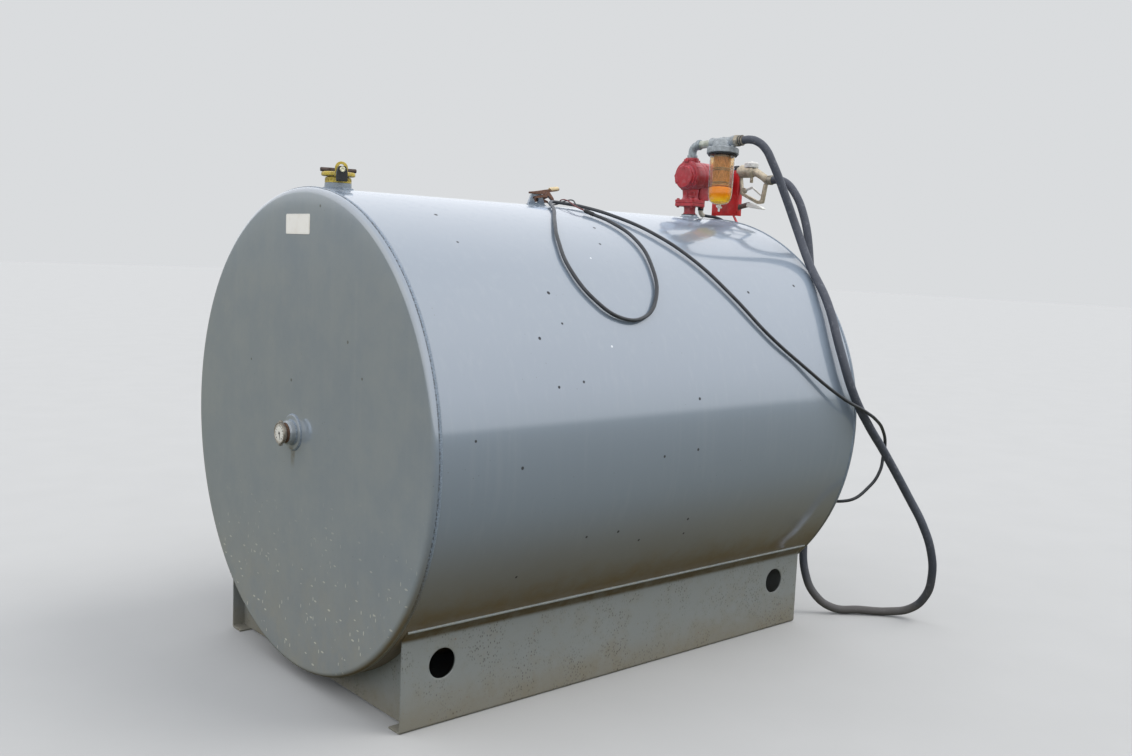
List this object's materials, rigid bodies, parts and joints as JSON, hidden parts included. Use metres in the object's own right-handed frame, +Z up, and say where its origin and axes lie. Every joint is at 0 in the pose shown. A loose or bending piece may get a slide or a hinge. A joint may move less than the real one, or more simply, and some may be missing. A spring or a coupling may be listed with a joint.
{
  "type": "horizontal storage tank",
  "caption": "Horizontal single-wall steel tank on bent-plate skids, with a locking fill cap, end gauge, top-mounted transfer pump, bowl filter, hose and nozzle in a holder.",
  "frame": {"origin": "on the ground under the middle of the tank and its fittings, without the free cords", "axes": "+X along the tank from the gauge end to the pump end, +Y to the side away from the hose, +Z up"},
  "size_m": [2.5057, 1.7965, 2.0137],
  "materials": {
    "tank_paint": "glossy",
    "skid_paint": "glossy, dusty low down",
    "gauge_iron": "rusty",
    "dial_white": "glossy",
    "cap_yellow": "satin",
    "bar_steel": "dark, rusty",
    "lock_black": "matte",
    "lock_steel": "polished",
    "pump_red": "satin",
    "holder_red": "satin",
    "conduit": "matte",
    "galvanised": "dull",
    "filter_grey": "die cast",
    "gasket": "matte",
    "bowl_amber": "clear amber",
    "element": "mesh",
    "drain_white": "glossy",
    "coupling_brass": "dull",
    "nozzle_alloy": "worn",
    "trigger_steel": "bright",
    "lever_steel": "worn",
    "spout_black": "matte",
    "hose_rubber": "matte, scuffed",
    "cable_rubber": "satin",
    "lead_red": "satin",
    "clip_copper": "tarnished copper plate"
  },
  "bodies": {
    "tank": {"shell": "tank_paint", "near_head": "tank_paint", "far_head": "tank_paint", "fill_collar": "tank_paint", "pump_bung": "tank_paint", "gauge_flange": "tank_paint", "gauge_coupling": "tank_paint", "lifting_lug": "tank_paint", "hose_side_skid": "skid_paint", "back_skid": "skid_paint", "near_saddle": "skid_paint", "far_saddle": "skid_paint", "gauge_adapter": "gauge_iron", "gauge_dial": "dial_white", "fill_cap_base": "cap_yellow", "fill_cap_lid": "cap_yellow", "fill_cap_hasp": "cap_yellow", "fill_cap_bar": "bar_steel", "padlock": "lock_black", "cable_gland": "lock_black", "padlock_bolt": "lock_steel", "pump_inlet": "pump_red", "pump_casing": "pump_red", "pump_cover": "pump_red", "pump_motor": "pump_red", "junction_box": "pump_red", "nozzle_holder": "holder_red", "holder_leg": "holder_red", "conduit_elbow": "conduit", "outlet_elbow": "galvanised", "outlet_nipple": "galvanised", "filter_head": "filter_grey", "filter_gasket": "gasket", "filter_bowl": "bowl_amber", "filter_element": "element", "filter_drain": "drain_white", "hose_coupling": "coupling_brass", "nozzle_body": "nozzle_alloy", "nozzle_cap": "nozzle_alloy", "nozzle_guard": "nozzle_alloy", "nozzle_swivel": "trigger_steel", "switch_lever": "lever_steel", "nozzle_spout": "spout_black", "hose": "hose_rubber", "power_cable": "cable_rubber", "cable_end": "cable_rubber", "lead_black": "cable_rubber", "lead_red": "lead_red", "clip_red": "clip_copper", "clip_black": "clip_copper"},
    "trigger": {"nozzle_trigger": "trigger_steel"}
  },
  "joints": [
    {"name": "trigger_hinge", "type": "hinge", "parent": "tank", "child": "trigger", "pos_m": [1.06736, -0.07625, 1.8], "axis": [-0.9945, -0.1045, 0], "range_deg": [0, 22], "stiffness_Nm_per_rad": 0.8}
  ]
}
